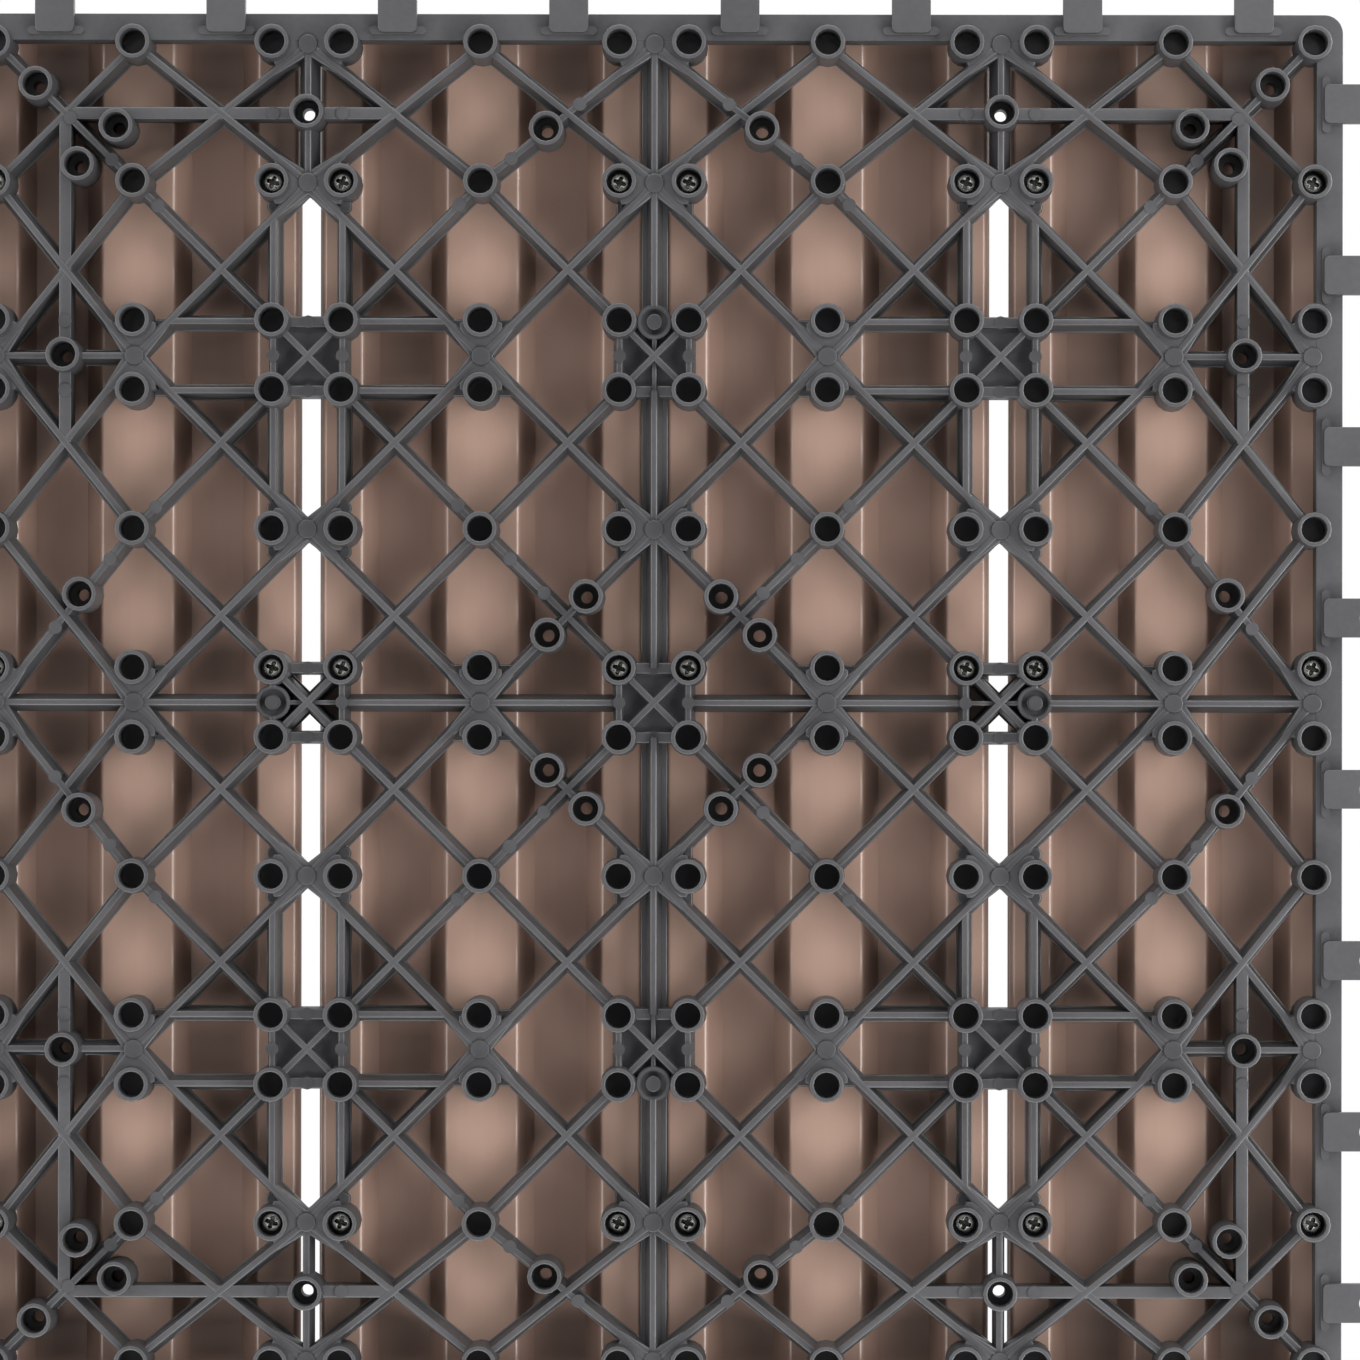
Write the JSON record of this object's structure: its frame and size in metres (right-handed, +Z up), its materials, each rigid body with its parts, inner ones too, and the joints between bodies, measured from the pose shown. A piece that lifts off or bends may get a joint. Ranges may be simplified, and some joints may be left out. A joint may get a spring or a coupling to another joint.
{
  "type": "interlocking deck tile",
  "caption": "Square interlocking outdoor deck tile: brown slats screwed onto a moulded support grid with hollow feet, with loops on two sides and pegs on the other two.",
  "frame": {"origin": "middle of the whole outline, loops included, on the ground under the feet", "axes": "+Z up through the slats, which run along Y; the loops stand out at -Y and +X and the pegs are at +Y and -X"},
  "size_m": [0.308, 0.308, 0.02],
  "materials": {
    "grid_plastic": "dark grey moulded polypropylene with a faint sheen",
    "slat_composite": "brown extruded wood-plastic composite, semi-gloss on the hidden side",
    "screw_steel": "zinc-plated"
  },
  "bodies": {
    "root": {"support_grid": "grid_plastic", "left_outer_slat": "slat_composite", "left_inner_slat": "slat_composite", "right_inner_slat": "slat_composite", "right_outer_slat": "slat_composite", "slat_screws": "screw_steel"}
  },
  "joints": []
}
